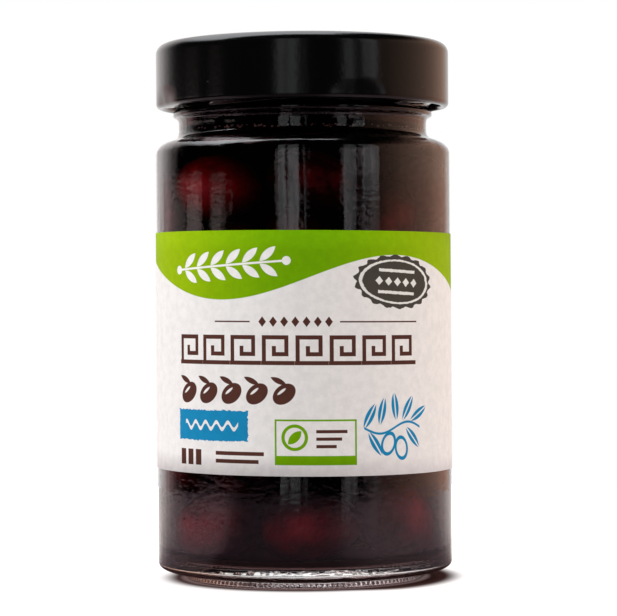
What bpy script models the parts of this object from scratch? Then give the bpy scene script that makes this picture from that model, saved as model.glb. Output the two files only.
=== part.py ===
"""A jar of olives: glass jar, twist-off metal lid, paper label and the olives inside.

Metres, +Z up. The jar stands on z = 0 with the Z axis through its middle, and its front,
where the label is printed, faces -Y. Angles round the jar are counted from the front
towards +X.
"""
import math
import random

import bmesh
import bpy
import numpy as np
from mathutils import Matrix, Vector

# Whole object
OBJECT_NAME = "olive_jar"
FACETS = 48                      # flats round the jar, the lid and the label
STEP_ANGLE = 2.0 * math.pi / FACETS
WELD = 0.00001                   # vertices closer than this are one

# Glass body
BODY_RADIUS = 0.0332
WALL = 0.0023
SHOULDER_BOTTOM_Z = 0.0954
SHOULDER_TOP_Z = 0.0990
INNER_SHOULDER_DROP = 0.0007     # the shoulder starts this much lower inside
HEEL_RADIUS = 0.0040
INNER_HEEL_RADIUS = 0.0034
BASE_THICKNESS = 0.0044
BASE_DOME = 0.0018               # the inner floor rises this much to the middle
REST_OUTER_RADIUS = BODY_RADIUS - HEEL_RADIUS
REST_INNER_RADIUS = 0.0266       # the flat ring that the jar stands on ends here
PUNT_RADIUS = 0.0246
PUNT_EDGE_Z = 0.0009
PUNT_DOME = 0.0015

# Glass neck and its screw finish
NECK_RADIUS = 0.0280
NECK_WALL = 0.0021
NECK_TOP_Z = 0.1031
BEAD_RADIUS = 0.0292
BEAD_Z = 0.1045
BEAD_HALF_HEIGHT = 0.0010
FINISH_RADIUS = 0.0287
RIM_Z = 0.1192
RIM_ROUNDING = 0.0009
STARTS = 4                       # threads on the glass, and lugs on the lid
THREAD_THICKNESS = 0.0018
THREAD_SWEEP = math.radians(95.0)
THREAD_RISE = 0.0034
THREAD_LOW_END_Z = 0.1060
THREAD_LOW_END_ANGLE = math.radians(-46.0)
THREAD_POINTS = 11
THREAD_STAND_OFF = 0.0003        # its middle line lies this far outside the finish
THREAD_END_SHARE = 0.55          # thickness of a ridge's two ends

# Metal lid
LID_RADIUS = 0.03305
LID_TOP_Z = 0.1204
LID_BOTTOM_Z = 0.1059
SHEET = 0.0004                   # thickness of the lid's metal with its lining
LID_CORNER = 0.0022
CURL_RADIUS = 0.0010             # the rolled lower edge
CURL_TURN = 240.0
CURL_NECK = 0.0023               # the roll meets the skirt this far above the lower edge
RING_INNER_RADIUS = 0.0254       # the raised ring over the glass rim ends here
STEP_WIDTH = 0.0008
PANEL_DROP = 0.0011
BUTTON_RADIUS = 0.0115
BUTTON_RISE = 0.0005
BUTTON_DOME = 0.0002
LUG_ANGLE = math.radians(21.0)   # the first lug, right of the front
LUG_WIDTH = 0.0090
LUG_INNER_RADIUS = 0.0299
LUG_OUTER_RADIUS = 0.0322
LUG_BOTTOM_Z = 0.1054
LUG_TOP_Z = 0.1069

# Paper label
LABEL_BOTTOM_Z = 0.0249
LABEL_TOP_Z = 0.0776
LABEL_SKEW = -0.0089             # how far its edges fall for each metre towards +X
LABEL_GAP = 0.0002
PAPER = 0.00015
BARE_FACETS = 2                  # flats left bare behind, between the label's two ends

# Olives
OLIVE_LENGTH = 0.0212
OLIVE_DIAMETER = 0.0150
SIZE_SPREAD = 0.10
ROW_Z = (0.0138, 0.0282, 0.0424, 0.0566, 0.0708, 0.0846)
OLIVES_IN_ROW = 7
TOP_OLIVES = 5
TOP_OLIVES_Z = 0.0905
TOP_OLIVES_RADIUS = 0.0125
TOP_OLIVES_TURN = 20.0
FRONT_ANGLES = (6.0, -22.0, 2.0, -24.0, 4.0, -50.0)
ANGLE_SPREAD = 5.0
HEIGHT_SPREAD = 0.001
TILT_SPREAD = 55.0
POINTED_TIP = 0.12
GLASS_CLEARANCE = 0.0008
UNDER_SHOULDER = 0.001
END_BALL = 0.34                  # radius of the balls near an olive's ends, in diameters
SETTLING_ROUNDS = 160
SETTLING_SHARE = 0.25
CORE_RADIUS = 0.0210
CORE_FACETS = 24
CORE_BOTTOM_Z = 0.0080
CORE_TOP_Z = 0.0880
SEED = 11
SHARP_EDGE = math.radians(40.0)


def clear_scene():
    """Remove every object that the scene starts with."""
    for old in list(bpy.data.objects):
        bpy.data.objects.remove(old, do_unlink=True)


def new_collection(name):
    """A collection under the scene's own."""
    group = bpy.data.collections.new(name)
    bpy.context.scene.collection.children.link(group)
    return group


def finish(name, color, roughness, metallic=0.0, transmission=0.0):
    """A Principled material."""
    made = bpy.data.materials.new(name)
    made.use_nodes = True
    shader = made.node_tree.nodes["Principled BSDF"]
    shader.inputs["Base Color"].default_value = (*color, 1.0)
    shader.inputs["Roughness"].default_value = roughness
    shader.inputs["Metallic"].default_value = metallic
    shader.inputs["Transmission Weight"].default_value = transmission
    return made


def new_object(name, mesh, group, material=None):
    """Put a mesh in a collection as a named object."""
    made = bpy.data.objects.new(name, mesh)
    group.objects.link(made)
    if material:
        mesh.materials.append(material)
    return made


def arc(center, radius_across, radius_up, start, end, steps):
    """Points (r, z) on a quarter or half oval; angles in degrees, 0 outwards and 90 up."""
    points = []
    for index in range(steps + 1):
        angle = math.radians(start + (end - start) * index / steps)
        points.append((center[0] + radius_across * math.cos(angle),
                       center[1] + radius_up * math.sin(angle)))
    return points


def dome(radius, edge_z, rise, steps):
    """Points (r, z) from the middle of a shallow dome to its edge."""
    points = []
    for index in range(steps + 1):
        share = index / steps
        points.append((radius * share, edge_z + rise * (1.0 - share * share)))
    return points


def turned(name, profile, group, material, turn=2.0 * math.pi, steps=FACETS):
    """Turn a profile of (r, z) points about the Z axis with a Screw modifier."""
    mesh = bpy.data.meshes.new(name)
    corners = [(radius, 0.0, z) for radius, z in profile]
    edges = [(index, index + 1) for index in range(len(profile) - 1)]
    mesh.from_pydata(corners, edges, [])
    made = new_object(name, mesh, group, material)
    screw = made.modifiers.new("turn", "SCREW")
    screw.axis = "Z"
    screw.angle = turn
    screw.steps = steps
    screw.render_steps = steps
    screw.use_merge_vertices = True
    screw.merge_threshold = WELD
    return made


def settle_modifiers(made):
    """Replace an object's mesh with what its modifiers make, and remove them."""
    shaped = bpy.data.meshes.new_from_object(evaluated(made))
    made.modifiers.clear()
    made.data = shaped


def evaluated(made):
    """The object as the viewport shows it."""
    bpy.context.view_layer.update()
    return made.evaluated_get(bpy.context.evaluated_depsgraph_get())


def fuse(base, extras, solver="EXACT"):
    """Join a collection's objects to the base with one Boolean union, then remove them."""
    union = base.modifiers.new("fuse", "BOOLEAN")
    union.operation = "UNION"
    union.operand_type = "COLLECTION"
    union.collection = extras
    union.solver = solver
    settle_modifiers(base)
    for extra in list(extras.objects):
        bpy.data.objects.remove(extra, do_unlink=True)
    bpy.data.collections.remove(extras)


def keep_outer_shell(mesh):
    """Fill the hollows that fusing sealed and drop loose scraps: only the largest shell stays."""
    shape = bmesh.new()
    shape.from_mesh(mesh)
    waiting = set(shape.verts)
    shells = []
    while waiting:
        front = [waiting.pop()]
        shell = list(front)
        while front:
            corner = front.pop()
            for edge in corner.link_edges:
                other = edge.other_vert(corner)
                if other in waiting:
                    waiting.remove(other)
                    front.append(other)
                    shell.append(other)
        shells.append(shell)
    shells.sort(key=len, reverse=True)
    spare = [corner for shell in shells[1:] for corner in shell]
    bmesh.ops.delete(shape, geom=spare, context="VERTS")
    shape.to_mesh(mesh)
    shape.free()


def spot(radius, angle, z):
    """A point at an angle from the front."""
    return Vector((radius * math.sin(angle), -radius * math.cos(angle), z))


def jar_profile():
    """The glass from the middle of its floor, up inside, over the rim and down outside."""
    inner_radius = BODY_RADIUS - WALL
    mouth_radius = NECK_RADIUS - NECK_WALL
    floor_radius = inner_radius - INNER_HEEL_RADIUS
    profile = dome(floor_radius, BASE_THICKNESS, BASE_DOME, 2)[:-1]
    profile += arc((floor_radius, BASE_THICKNESS + INNER_HEEL_RADIUS),
                   INNER_HEEL_RADIUS, INNER_HEEL_RADIUS, -90.0, 0.0, 3)
    profile += arc((mouth_radius, SHOULDER_BOTTOM_Z - INNER_SHOULDER_DROP),
                   inner_radius - mouth_radius, SHOULDER_TOP_Z - SHOULDER_BOTTOM_Z,
                   0.0, 90.0, 4)
    profile += arc((mouth_radius + RIM_ROUNDING, RIM_Z - RIM_ROUNDING),
                   RIM_ROUNDING, RIM_ROUNDING, 180.0, 90.0, 2)[:-1]
    profile += arc((FINISH_RADIUS - RIM_ROUNDING, RIM_Z - RIM_ROUNDING),
                   RIM_ROUNDING, RIM_ROUNDING, 90.0, 0.0, 2)
    profile += [(FINISH_RADIUS, BEAD_Z + BEAD_HALF_HEIGHT)]
    profile += arc((FINISH_RADIUS, BEAD_Z), BEAD_RADIUS - FINISH_RADIUS,
                   BEAD_HALF_HEIGHT, 60.0, -60.0, 3)
    profile += [(NECK_RADIUS, NECK_TOP_Z), (NECK_RADIUS, SHOULDER_TOP_Z)]
    profile += arc((NECK_RADIUS, SHOULDER_BOTTOM_Z), BODY_RADIUS - NECK_RADIUS,
                   SHOULDER_TOP_Z - SHOULDER_BOTTOM_Z, 72.0, 0.0, 4)
    profile += arc((REST_OUTER_RADIUS, HEEL_RADIUS), HEEL_RADIUS, HEEL_RADIUS, 0.0, -90.0, 4)
    profile += [(REST_INNER_RADIUS, 0.0)]
    profile += reversed(dome(PUNT_RADIUS, PUNT_EDGE_Z, PUNT_DOME, 2))
    return profile


def thread_ridge(index, group):
    """One ridge that a lug slides under, falling towards -X at the front, with thin ends."""
    line = bpy.data.curves.new("thread line", "CURVE")
    line.dimensions = "3D"
    line.bevel_depth = THREAD_THICKNESS / 2.0
    line.bevel_resolution = 1
    line.use_fill_caps = True
    route = line.splines.new("POLY")
    route.points.add(THREAD_POINTS - 1)
    start = THREAD_LOW_END_ANGLE + index * 2.0 * math.pi / STARTS
    for number, point in enumerate(route.points):
        share = number / (THREAD_POINTS - 1)
        place = spot(FINISH_RADIUS + THREAD_STAND_OFF, start + THREAD_SWEEP * share,
                     THREAD_LOW_END_Z + THREAD_RISE * share)
        point.co = (*place, 1.0)
        point.radius = THREAD_END_SHARE if number in (0, THREAD_POINTS - 1) else 1.0
    ridge = new_object("thread line", line, group)
    mesh = bpy.data.meshes.new_from_object(evaluated(ridge))
    bpy.data.objects.remove(ridge, do_unlink=True)
    shape = bmesh.new()
    shape.from_mesh(mesh)
    bmesh.ops.remove_doubles(shape, verts=shape.verts, dist=WELD)
    bmesh.ops.recalc_face_normals(shape, faces=shape.faces)
    shape.to_mesh(mesh)
    shape.free()
    return new_object("thread_ridge", mesh, group)


def make_jar(group):
    """The glass jar with its bead and thread ridges."""
    glass = finish("glass", (0.92, 0.96, 0.95), 0.03, transmission=1.0)
    jar = turned("jar", jar_profile(), group, glass)
    ridges = new_collection("thread ridges")
    for index in range(STARTS):
        thread_ridge(index, ridges)
    fuse(jar, ridges)
    return jar


def lid_profile():
    """The lid from the middle of its top, out, down the skirt, round the curl and back."""
    panel_z = LID_TOP_Z - PANEL_DROP
    profile = [(0.0, panel_z + BUTTON_RISE + BUTTON_DOME),
               (BUTTON_RADIUS - STEP_WIDTH, panel_z + BUTTON_RISE),
               (BUTTON_RADIUS, panel_z),
               (RING_INNER_RADIUS - STEP_WIDTH, panel_z),
               (RING_INNER_RADIUS, LID_TOP_Z)]
    profile += arc((LID_RADIUS - LID_CORNER, LID_TOP_Z - LID_CORNER),
                   LID_CORNER, LID_CORNER, 90.0, 0.0, 4)
    curl_center = (LID_RADIUS - CURL_RADIUS, LID_BOTTOM_Z + CURL_RADIUS)
    profile += arc(curl_center, CURL_RADIUS, CURL_RADIUS, 0.0, -CURL_TURN, 6)
    inner_corner = LID_CORNER - SHEET
    profile += [(LID_RADIUS - SHEET, LID_BOTTOM_Z + CURL_NECK)]
    profile += arc((LID_RADIUS - LID_CORNER, LID_TOP_Z - LID_CORNER),
                   inner_corner, inner_corner, 0.0, 90.0, 2)
    profile += [(RING_INNER_RADIUS + SHEET, LID_TOP_Z - SHEET),
                (RING_INNER_RADIUS - STEP_WIDTH + SHEET, panel_z - SHEET),
                (BUTTON_RADIUS, panel_z - SHEET),
                (BUTTON_RADIUS - STEP_WIDTH, panel_z + BUTTON_RISE - SHEET),
                (0.0, panel_z + BUTTON_RISE + BUTTON_DOME - SHEET)]
    return profile


def lug(index, group):
    """One tab that the rolled edge forms inwards, to catch under a thread."""
    size = Vector((LUG_WIDTH, LUG_OUTER_RADIUS - LUG_INNER_RADIUS, LUG_TOP_Z - LUG_BOTTOM_Z))
    angle = LUG_ANGLE + index * 2.0 * math.pi / STARTS
    middle = spot((LUG_OUTER_RADIUS + LUG_INNER_RADIUS) / 2.0, angle,
                  (LUG_TOP_Z + LUG_BOTTOM_Z) / 2.0)
    place = Matrix.Translation(middle) @ Matrix.Rotation(angle, 4, "Z") @ Matrix.Diagonal(size).to_4x4()
    mesh = bpy.data.meshes.new("lug")
    shape = bmesh.new()
    bmesh.ops.create_cube(shape, size=1.0, matrix=place)
    shape.to_mesh(mesh)
    shape.free()
    return new_object("lug", mesh, group)


def make_lid(group):
    """The twist-off lid with its lugs."""
    black = finish("black_lacquer", (0.012, 0.012, 0.012), 0.16)
    lid = turned("lid", lid_profile(), group, black)
    lugs = new_collection("lugs")
    for index in range(STARTS):
        lug(index, lugs)
    fuse(lid, lugs)
    return lid


def make_label(group):
    """The paper sleeve, a little askew, with its two ends apart behind."""
    paper = finish("printed_paper", (0.78, 0.75, 0.71), 0.55)
    radius = BODY_RADIUS + LABEL_GAP
    profile = [(radius, LABEL_TOP_Z), (radius, LABEL_BOTTOM_Z)]
    flats = FACETS - BARE_FACETS
    label = turned("label", profile, group, paper, flats * STEP_ANGLE, flats)
    thickness = label.modifiers.new("paper", "SOLIDIFY")
    thickness.thickness = PAPER
    thickness.offset = 1.0
    settle_modifiers(label)
    start = math.pi / 2.0 + STEP_ANGLE * BARE_FACETS / 2.0
    label.data.transform(Matrix.Rotation(start, 4, "Z"))
    askew = Matrix.Identity(4)
    askew[2][0] = LABEL_SKEW
    label.data.transform(askew)
    return label


def olive_poses():
    """Centre, long axis, length and diameter of each olive, first in rows against the glass."""
    draw = random.Random(SEED)
    centers, axes, sizes = [], [], []
    inner_radius = BODY_RADIUS - WALL - GLASS_CLEARANCE
    for row, z in enumerate(ROW_Z):
        for number in range(OLIVES_IN_ROW):
            angle = math.radians(FRONT_ANGLES[row] + draw.uniform(-ANGLE_SPREAD, ANGLE_SPREAD))
            angle += number * 2.0 * math.pi / OLIVES_IN_ROW
            add_olive(draw, inner_radius - OLIVE_DIAMETER / 2.0, angle, z, centers, axes, sizes)
    for number in range(TOP_OLIVES):
        angle = math.radians(TOP_OLIVES_TURN) + number * 2.0 * math.pi / TOP_OLIVES
        add_olive(draw, TOP_OLIVES_RADIUS, angle, TOP_OLIVES_Z, centers, axes, sizes)
    centers = np.array(centers)
    axes = np.array(axes)
    sizes = np.array(sizes)
    return settled(centers, axes, sizes), axes, sizes


def add_olive(draw, radius, angle, z, centers, axes, sizes):
    """Draw one olive's size and the way that it lies along the glass."""
    tilt = math.radians(draw.uniform(-TILT_SPREAD, TILT_SPREAD))
    along = Vector((math.cos(angle), math.sin(angle), 0.0)) * math.cos(tilt)
    along.z = math.sin(tilt)
    centers.append(spot(radius, angle, z + draw.uniform(-HEIGHT_SPREAD, HEIGHT_SPREAD)))
    axes.append(along.normalized())
    sizes.append((OLIVE_LENGTH * draw.uniform(1.0 - SIZE_SPREAD, 1.0 + SIZE_SPREAD),
                  OLIVE_DIAMETER * draw.uniform(1.0 - SIZE_SPREAD, 1.0 + SIZE_SPREAD)))


def settled(centers, axes, sizes):
    """Push olives that overlap apart, and back inside the glass, a little at a time.

    Each olive counts as three balls in a row: a full one and a smaller one to each end.
    """
    centers = centers.copy()
    count = len(centers)
    radii = np.stack([sizes[:, 1] * share for share in (END_BALL, 0.5, END_BALL)], axis=1)
    reach = sizes[:, 0] * 0.5 - radii[:, 0]
    offsets = np.stack([-reach, np.zeros(count), reach], axis=1)
    owner = np.repeat(np.arange(count), 3)
    wide = radii.reshape(-1)
    inner_radius = BODY_RADIUS - WALL - GLASS_CLEARANCE
    for _ in range(SETTLING_ROUNDS):
        balls = (centers[:, None, :] + axes[:, None, :] * offsets[:, :, None]).reshape(-1, 3)
        gaps = balls[:, None, :] - balls[None, :, :]
        distance = np.linalg.norm(gaps, axis=2) + 1e-9
        overlap = np.clip(wide[:, None] + wide[None, :] - distance, 0.0, None)
        overlap[owner[:, None] == owner[None, :]] = 0.0
        push = (gaps / distance[:, :, None] * overlap[:, :, None]).sum(axis=1) * SETTLING_SHARE
        across = np.linalg.norm(balls[:, :2], axis=1) + 1e-9
        ceiling = np.where(across > NECK_RADIUS - NECK_WALL - wide,
                           SHOULDER_BOTTOM_Z - UNDER_SHOULDER, SHOULDER_TOP_Z)
        outside = np.clip(across + wide - inner_radius, 0.0, None)
        push[:, :2] -= balls[:, :2] / across[:, None] * outside[:, None]
        push[:, 2] += np.clip(BASE_THICKNESS + BASE_DOME + wide - balls[:, 2], 0.0, None)
        push[:, 2] -= np.clip(balls[:, 2] + wide - ceiling, 0.0, None)
        centers += push.reshape(count, 3, 3).sum(axis=1)
    return centers


def olive(center, axis, length, diameter, group):
    """One olive with few sides: an oval drawn out to a blunt point at one end."""
    mesh = bpy.data.meshes.new("olive")
    shape = bmesh.new()
    bmesh.ops.create_icosphere(shape, subdivisions=2, radius=1.0)
    for corner in shape.verts:
        along = corner.co.x
        slim = 1.0 - POINTED_TIP * max(along, 0.0) ** 2
        corner.co = Vector((along * length / 2.0, corner.co.y * slim * diameter / 2.0,
                            corner.co.z * slim * diameter / 2.0))
    turn = Vector((1.0, 0.0, 0.0)).rotation_difference(Vector(axis)).to_matrix().to_4x4()
    bmesh.ops.transform(shape, matrix=Matrix.Translation(Vector(center)) @ turn, verts=shape.verts)
    shape.to_mesh(mesh)
    shape.free()
    return new_object("olive", mesh, group)


def make_olives(group):
    """The heap that fills the jar: a plain core with the olives that show fused on."""
    skin = finish("olive_skin", (0.045, 0.010, 0.014), 0.35)
    mesh = bpy.data.meshes.new("olives")
    shape = bmesh.new()
    middle = Matrix.Translation((0.0, 0.0, (CORE_TOP_Z + CORE_BOTTOM_Z) / 2.0))
    bmesh.ops.create_cone(shape, cap_ends=True, segments=CORE_FACETS, radius1=CORE_RADIUS,
                          radius2=CORE_RADIUS, depth=CORE_TOP_Z - CORE_BOTTOM_Z, matrix=middle)
    shape.to_mesh(mesh)
    shape.free()
    heap = new_object("olives", mesh, group, skin)
    loose = new_collection("loose olives")
    centers, axes, sizes = olive_poses()
    for center, axis, size in zip(centers, axes, sizes):
        olive(center, axis, size[0], size[1], loose)
    fuse(heap, loose)
    keep_outer_shell(heap.data)
    return heap


def main():
    """Make the jar, its lid, its label and the olives."""
    clear_scene()
    group = new_collection(OBJECT_NAME)
    for made in (make_jar(group), make_lid(group)):
        made.data.shade_smooth()
        made.data.set_sharp_from_angle(angle=SHARP_EDGE)
    make_label(group)
    make_olives(group)


main()
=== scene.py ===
"""Looks of a jar of olives: clear glass, dark brine, whole olives, a printed paper label and
a black lacquered lid, on a plain white table in soft studio light.

The file is laid out as an add-on, so that each piece has its own operator and settings.
Metres, +Z up, the label's front faces -Y. Angles round the jar count from the front to +X.
"""
import math
import random

import bmesh
import bpy
import numpy as np
from bpy.props import FloatProperty, FloatVectorProperty, IntProperty, PointerProperty
from mathutils import Matrix, Vector, noise


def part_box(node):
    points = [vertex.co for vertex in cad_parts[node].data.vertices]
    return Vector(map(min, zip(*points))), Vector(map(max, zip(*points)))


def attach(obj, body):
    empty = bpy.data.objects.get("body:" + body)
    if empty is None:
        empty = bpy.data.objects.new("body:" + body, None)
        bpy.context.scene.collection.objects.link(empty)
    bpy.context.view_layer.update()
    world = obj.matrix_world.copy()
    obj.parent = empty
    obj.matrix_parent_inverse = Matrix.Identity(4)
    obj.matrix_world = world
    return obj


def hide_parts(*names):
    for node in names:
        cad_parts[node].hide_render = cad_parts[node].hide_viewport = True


bl_info = {
    "name": "Olive Jar",
    "version": (1, 0, 0),
    "blender": (4, 5, 0),
    "location": "View3D > Sidebar > Olive Jar",
    "description": "Builds a jar of olives round its packed frame",
    "category": "Add Mesh",
}

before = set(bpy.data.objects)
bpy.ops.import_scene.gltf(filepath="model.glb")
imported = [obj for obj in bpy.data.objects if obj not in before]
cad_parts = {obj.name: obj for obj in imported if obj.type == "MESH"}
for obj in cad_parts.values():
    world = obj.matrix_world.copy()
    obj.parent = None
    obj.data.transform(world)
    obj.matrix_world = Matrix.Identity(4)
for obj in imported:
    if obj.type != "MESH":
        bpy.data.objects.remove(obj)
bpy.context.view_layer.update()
BODY = "root"
MM = 0.001
TURN = 2.0 * math.pi
WELD = 0.000002

# Places read from the frame
GLASS_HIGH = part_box("jar")[1]
LID_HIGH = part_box("lid")[1]
LABEL_LOW, LABEL_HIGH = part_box("label")

# The label lies a little askew: its edges fall by this much for each metre towards +X
LABEL_SKEW = -0.0089
LABEL_EDGE_LOW = LABEL_LOW.z + LABEL_SKEW * LABEL_LOW.x
LABEL_EDGE_HIGH = LABEL_HIGH.z + LABEL_SKEW * LABEL_HIGH.x

# The inside of the glass, which the brine follows: the rounding and the rise of its floor,
# and how much lower the shoulder starts inside than outside
INNER_HEEL = 0.0034
FLOOR_RISE = 0.0003
INNER_SHOULDER_DROP = 0.0007

# The neck: the ring's half height, and the stretch that has the threads
BEAD_HALF = 0.0008
THREADS_TOP = 0.1108

# Olives whose redness is given one by one, counted from below. This is partly painted light: number
# 35, in the top row at the front left, is painted full red. The lowest rows are redder, also as
# painted light.
PAINTED_OLIVE_TONES = {35: 1.0, 36: 0.0, 7: 0.15}

# The photograph's size in pixels, and its camera as fitted to the jar's ellipses
PHOTO_WIDTH = 617
CAMERA_FOCUS_PIXELS = 2542.0
CAMERA_PLACE = (0.0, -0.5763, 0.06337)
CAMERA_YAW = -0.0019
CAMERA_PITCH = -0.0045
CAMERA_ROLL = -0.0068

# Window panes of the studio, in degrees from the front: where each starts and ends, and how
# bright it is below and above the horizon
WINDOW_PANES = ((-19.6, -13.4, 0.64, 0.64), (-11.2, -3.6, 0.64, 0.64), (0.9, 2.4, 0.26, 0.26),
                (32.6, 41.1, 0.50, 0.50), (48.2, 50.0, 0.14, 0.92), (50.0, 55.5, 0.09, 0.50),
                (55.5, 60.3, 0.38, 0.87))

# Pale curtains on the left: where each starts and ends, its softness and its brightness
CURTAINS = ((-77.0, -65.0, 1.2, 0.50), (-103.0, -88.0, 1.2, 0.60), (-134.0, -106.0, 3.0, 0.30))


def length(name, description, default):
    """A length setting in metres."""
    return FloatProperty(name=name, description=description, default=default, unit="LENGTH",
                         precision=5)


def color(name, description, default):
    """A colour setting."""
    return FloatVectorProperty(name=name, description=description, default=default, size=3,
                               subtype="COLOR", min=0.0, max=1.0)


class GlassSettings(bpy.types.PropertyGroup):
    """Sizes and finish of the glass jar."""

    body_radius: length("Body radius", "Outside of the straight body", GLASS_HIGH.x)
    wall: length("Wall", "Thickness of the body's wall", 0.0023)
    shoulder_low: length("Shoulder foot", "Height where the shoulder starts", 0.0954)
    shoulder_high: length("Shoulder top", "Height where the shoulder meets the neck", 0.0988)
    neck_radius: length("Neck radius", "Outside of the neck", 0.0280)
    neck_wall: length("Neck wall", "Thickness of the neck", 0.0021)
    finish_radius: length("Finish radius", "Outside of the neck between the threads", 0.0287)
    bead_radius: length("Bead radius", "Outside of the ring under the lid", 0.0293)
    bead_z: length("Bead height", "Height of that ring", 0.1045)
    heel_across: length("Heel across", "How far the rounding at the foot goes in", 0.0056)
    heel_up: length("Heel up", "Height where that rounding starts", 0.0036)
    ring_top: length("Ring", "Height of the knurled ring that the jar stands on", 0.0015)
    base: length("Base", "Thickness of the glass at the floor's edge", 0.0046)
    knurls: IntProperty(name="Knurls", description="Ridges round the standing ring", default=144)
    steps: IntProperty(name="Steps", description="Sections round the jar", default=576)
    tint: color("Tint", "Colour of the glass", (0.975, 0.99, 0.985))


class LidSettings(bpy.types.PropertyGroup):
    """Sizes and finish of the metal lid."""

    radius: length("Radius", "Outside of the skirt", LID_HIGH.x)
    top: length("Top", "Height of the raised ring", LID_HIGH.z)
    bottom: length("Bottom", "Height of the rolled edge's lowest line", 0.1059)
    corner: length("Corner", "Rounding between top and skirt", 0.0023)
    curl: length("Curl", "Radius of the rolled edge", 0.0010)
    sheet: length("Sheet", "Thickness of the metal", 0.0004)
    lugs: IntProperty(name="Lugs", description="Tabs that catch under the threads", default=4)
    lug_angle: FloatProperty(name="Lug angle", description="First lug, from the front",
                             default=math.radians(21.0), subtype="ANGLE")
    lacquer: color("Lacquer", "Colour of the lacquer", (0.0016, 0.0016, 0.0016))


class LabelSettings(bpy.types.PropertyGroup):
    """Sizes and inks of the paper label."""

    gap: length("Gap", "Space between the paper and the glass", 0.00004)
    paper: length("Paper", "Thickness of the paper", 0.00012)
    bare: FloatProperty(name="Bare angle", description="Left bare behind", subtype="ANGLE",
                        default=math.radians(15.0))
    stock: color("Paper colour", "Colour of the bare paper", (0.80, 0.785, 0.765))
    green_middle: color("Green", "Green field in the middle", (0.150, 0.358, 0.0010))
    green_side: color("Side green", "Green field towards the sides", (0.300, 0.455, 0.0015))
    brown: color("Brown", "Brown ink", (0.085, 0.032, 0.024))
    blue: color("Blue", "Blue ink", (0.010, 0.230, 0.450))
    charcoal: color("Charcoal", "Dark ink", (0.065, 0.058, 0.048))


class FillingSettings(bpy.types.PropertyGroup):
    """Sizes and colours of the olives and the brine."""

    olive_length: length("Olive length", "Usual length of an olive", 0.0212)
    olive_diameter: length("Olive diameter", "Usual thickness of an olive", 0.0150)
    level: length("Level", "Height of the brine's surface, behind the lid", 0.1100)
    bubbles_z: length("Bubbles", "Height of the ring of bubbles in the neck", 0.1008)
    reach: length("Reach", "How far the brine reaches into the wall", 0.00025)
    brine: color("Brine", "Colour that the brine lets through", (0.66, 0.07, 0.12))
    brine_depth: FloatProperty(name="Depth of colour", description="Absorption for each metre",
                               default=820.0)
    skin_dark: color("Dark skin", "Darkest olive skin", (0.040, 0.007, 0.011))
    skin_red: color("Red skin", "Lightest olive skin", (0.600, 0.110, 0.150))


class StageSettings(bpy.types.PropertyGroup):
    """The table and the light."""

    table_radius: length("Table", "Radius of the round white table", 0.28)
    # Painted light: the table's colour far round behind the jar, lighter and faintly pink as the
    # light there
    table: color("Table colour", "Colour of the table", (0.95, 0.89, 0.88))
    soft_power: FloatProperty(name="Soft light", description="Power of the top light in watts",
                              default=2.2)


class Wire:
    """A socket of a node tree, so that shader sums are written as Python sums."""

    def __init__(self, tree, socket=None):
        self.tree = tree
        self.socket = socket

    def node(self, kind, settings=None, sockets=None, output=0):
        """Add any node: its settings first, then the values or links of its sockets."""
        made = self.tree.nodes.new(kind)
        for name, value in (settings or {}).items():
            if name == "stops":
                set_stops(made.color_ramp, value)
            else:
                setattr(made, name, value)
        for name, value in (sockets or {}).items():
            if isinstance(value, Wire):
                self.tree.links.new(value.socket, made.inputs[name])
            else:
                made.inputs[name].default_value = value
        return Wire(self.tree, made.outputs[output])

    def sum_of(self, operation, *values, clamp=False):
        """A Math node on values or wires."""
        settings = {"operation": operation, "use_clamp": clamp}
        return self.node("ShaderNodeMath", settings, dict(enumerate(values)))

    def __add__(self, other):
        return self.sum_of("ADD", self, other)

    def __sub__(self, other):
        return self.sum_of("SUBTRACT", self, other)

    def __rsub__(self, other):
        return self.sum_of("SUBTRACT", other, self)

    def __mul__(self, other):
        return self.sum_of("MULTIPLY", self, other)

    def __truediv__(self, other):
        return self.sum_of("DIVIDE", self, other)

    def __pow__(self, other):
        return self.sum_of("POWER", self, other)

    def __neg__(self):
        return self.sum_of("MULTIPLY", self, -1.0)

    def __abs__(self):
        return self.sum_of("ABSOLUTE", self)

    __radd__ = __add__
    __rmul__ = __mul__

    def least(self, other):
        return self.sum_of("MINIMUM", self, other)

    def most(self, other):
        return self.sum_of("MAXIMUM", self, other)

    def clamped(self):
        return self.sum_of("ADD", self, 0.0, clamp=True)

    def sine(self):
        return self.sum_of("SINE", self)

    def ramp(self, start, end):
        """0 at start and 1 at end, smooth between them."""
        settings = {"interpolation_type": "SMOOTHSTEP"}
        return self.node("ShaderNodeMapRange", settings, {0: self, 1: start, 2: end})

    def mix(self, low, high):
        """A colour that goes from low to high as this wire goes from 0 to 1."""
        low, high = (item if isinstance(item, Wire) else (*item, 1.0) for item in (low, high))
        return self.node("ShaderNodeMix", {"data_type": "RGBA"}, {0: self, 6: low, 7: high}, 2)

    def parts(self):
        """The three numbers of a vector."""
        split = self.node("ShaderNodeSeparateXYZ", None, {0: self})
        return [Wire(self.tree, out) for out in split.socket.node.outputs]


def set_stops(ramp, stops):
    """Give a colour ramp its stops, as (place, colour) pairs."""
    while len(ramp.elements) > 1:
        ramp.elements.remove(ramp.elements[-1])
    for index, (place, shade) in enumerate(stops):
        stop = ramp.elements[0] if index == 0 else ramp.elements.new(place)
        stop.position = place
        stop.color = (*shade, 1.0)


def new_material(name, values):
    """A material with these plain values: its start wire, its shader and its output node."""
    made = bpy.data.materials.new(name)
    made.use_nodes = True
    tree = made.node_tree
    shader = tree.nodes["Principled BSDF"]
    for socket, value in values.items():
        shader.inputs[socket].default_value = value
    return made, Wire(tree), shader, tree.nodes["Material Output"]


def feed(wires, shader, name):
    """Link a wire to a shader's socket."""
    wires.tree.links.new(wires.socket, shader.inputs[name])


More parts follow.
